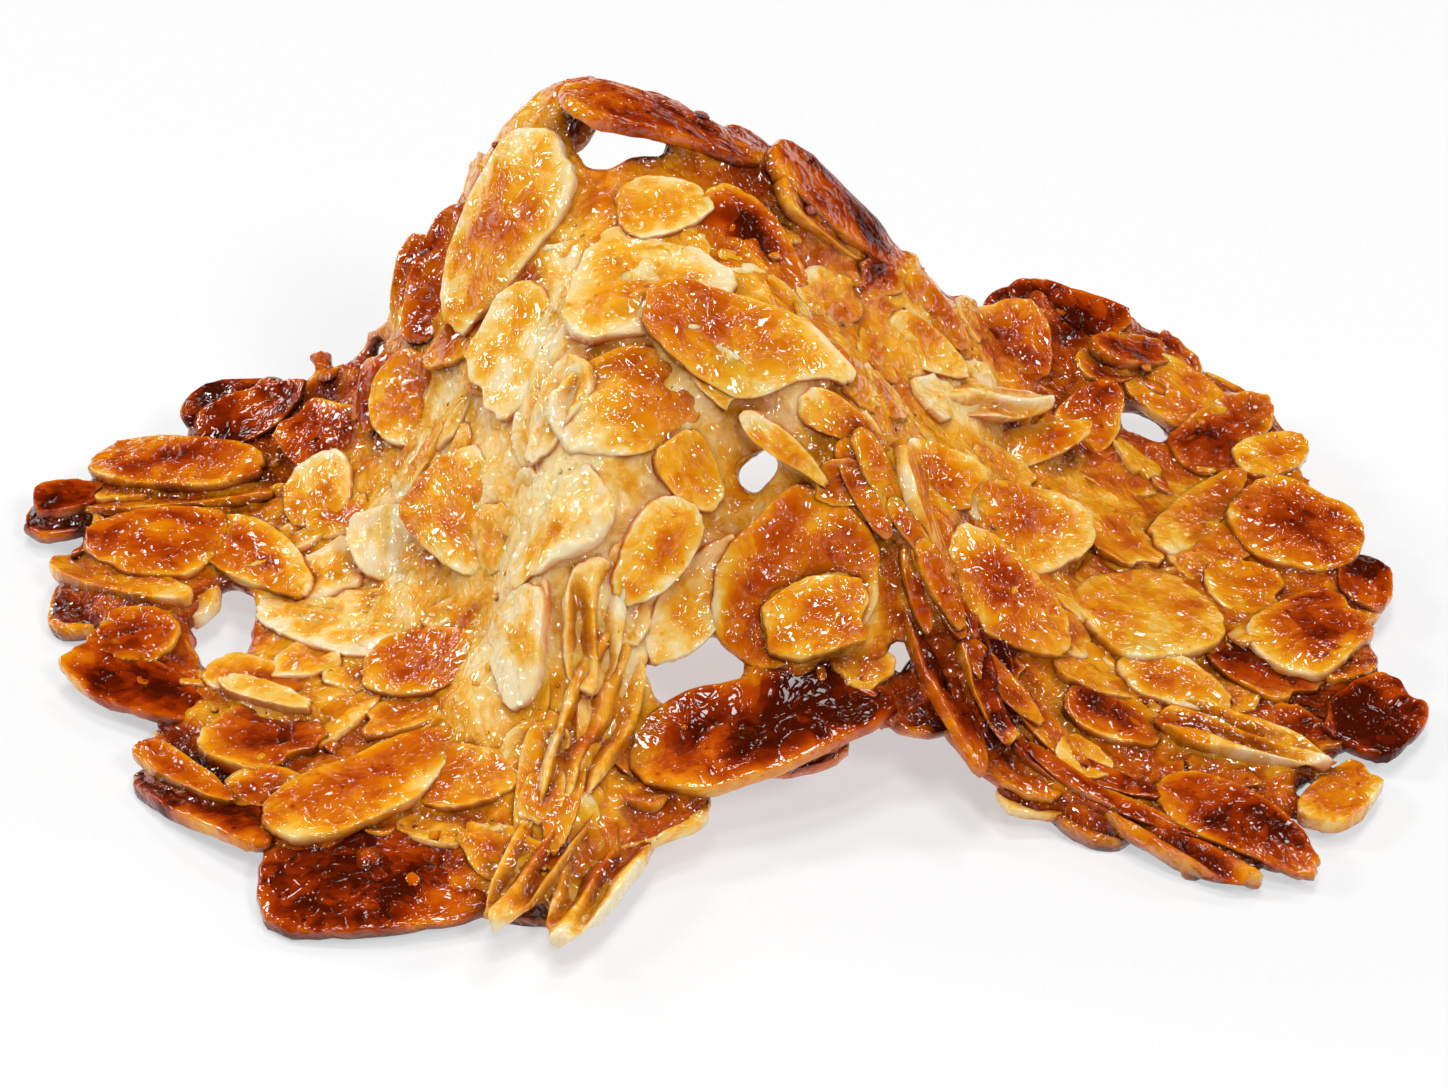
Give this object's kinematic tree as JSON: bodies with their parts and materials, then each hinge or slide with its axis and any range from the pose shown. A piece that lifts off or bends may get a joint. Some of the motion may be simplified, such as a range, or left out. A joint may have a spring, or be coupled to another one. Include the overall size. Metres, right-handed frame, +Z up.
{
  "type": "almond tuile",
  "caption": "Thin baked wafer of caramel and flaked almonds, folded hot so that it stands as a low tent with two wide lobes, a pleated foot and an open arch.",
  "frame": {"origin": "on the table under the middle of the wafer's bounding box", "axes": "+X along the wafer towards its wider, rounded lobe; +Y towards the open back of the tent; +Z up, away from the table"},
  "size_m": [0.1302, 0.091, 0.0491],
  "materials": {
    "caramelised_almond": "glossy golden-brown caramel glaze over flaked almonds, pale cream in the middle and dark brown at the rim"
  },
  "bodies": {
    "root": {"tuile": "caramelised_almond"}
  },
  "joints": []
}
